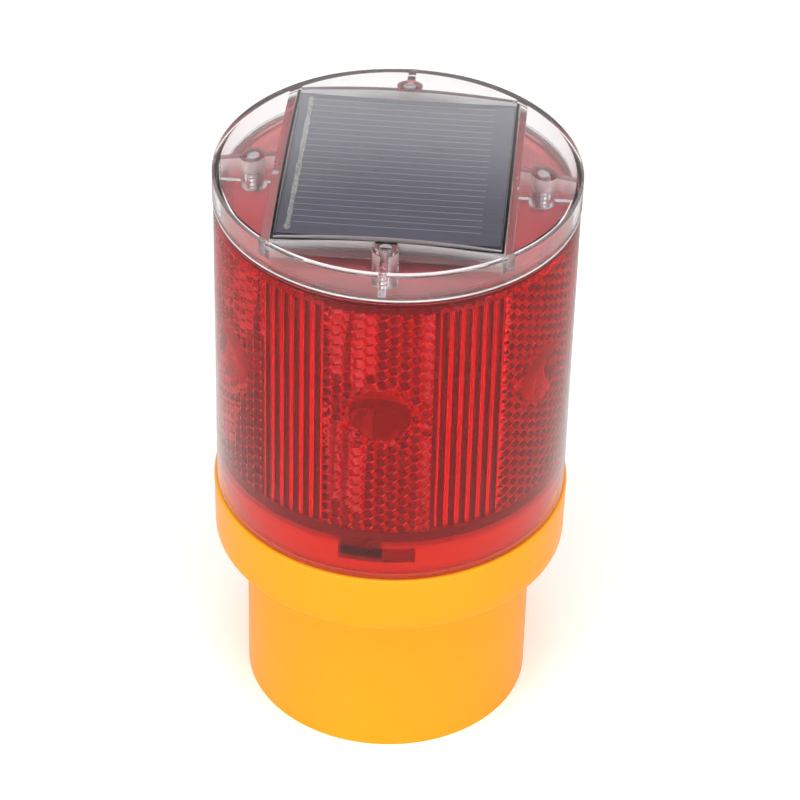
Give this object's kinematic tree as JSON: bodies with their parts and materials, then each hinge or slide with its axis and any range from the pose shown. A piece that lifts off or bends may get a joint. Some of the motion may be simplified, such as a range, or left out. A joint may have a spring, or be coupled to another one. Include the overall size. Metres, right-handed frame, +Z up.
{
  "type": "barricade warning light",
  "caption": "Solar flashing light: a red prismatic drum lens with a clear-topped solar cell twists onto a yellow base whose hollow tube drops over a cone or post.",
  "frame": {"origin": "centre of the foot rim of the socket tube, on the surface that the lamp stands on", "axes": "+Z up along the axis of the tube and the lens, -Y towards the front bullseye"},
  "size_m": [0.086, 0.086, 0.1516],
  "materials": {
    "yellow_abs": "satin moulded ABS",
    "red_polycarbonate": "clear red moulded polycarbonate",
    "clear_acrylic": "water-clear moulded polycarbonate",
    "pale_silicone": "translucent silicone",
    "amber_silicone": "translucent silicone",
    "bright_steel": "bright zinc plating",
    "silicon_cell": "blue-grey coated silicon under clear film",
    "tinned_ribbon": "tinned copper ribbon",
    "black_board": "glass-epoxy sheet with a dark film",
    "dark_abs": "fine-textured ABS",
    "green_board": "solder mask on glass-epoxy",
    "red_epoxy": "clear red epoxy",
    "black_epoxy": "moulded epoxy",
    "ferrite": "pressed ferrite with a dark sleeve",
    "capacitor_sleeve": "shrunk sleeve",
    "resistor_ceramic": "lacquered ceramic with tinned leads",
    "battery_sleeve": "plain shrunk sleeve",
    "nickel_plate": "nickel-plated spring steel strip",
    "switch_nylon": "moulded nylon",
    "button_black": "satin moulded ABS",
    "red_pvc": "PVC sleeve",
    "black_pvc": "PVC sleeve",
    "white_pvc": "PVC sleeve"
  },
  "bodies": {
    "base": {"base_housing": "yellow_abs", "base_seal": "amber_silicone"},
    "head": {"lens_shell": "red_polycarbonate", "clear_cover": "clear_acrylic", "cover_seal": "pale_silicone", "cover_screws": "bright_steel", "frame_screws": "bright_steel", "solar_cell": "silicon_cell", "cell_ribbon": "tinned_ribbon", "cell_board": "black_board", "inner_frame": "dark_abs", "led_board": "green_board", "board_washers": "bright_steel", "leds": "red_epoxy", "driver_ic": "black_epoxy", "inductor": "ferrite", "capacitor": "capacitor_sleeve", "resistors": "resistor_ceramic", "battery_cell": "battery_sleeve", "positive_contact": "nickel_plate", "negative_spring": "nickel_plate", "switch_body": "switch_nylon", "solar_lead_red": "red_pvc", "solar_lead_black": "black_pvc", "battery_lead_red": "red_pvc", "battery_lead_black": "black_pvc", "switch_leads": "white_pvc"},
    "button": {"power_button": "button_black"}
  },
  "joints": [
    {"name": "head_twist", "type": "hinge", "parent": "base", "child": "head", "pos_m": [0, 0, 0.0597], "axis": [0, 0, -1], "range_deg": [0, 14.5]},
    {"name": "button_press", "type": "slide", "parent": "head", "child": "button", "axis": [0, 0, 1], "range_m": [0, 0.002], "stiffness_N_per_m": 800, "springref_m": -0.001}
  ]
}
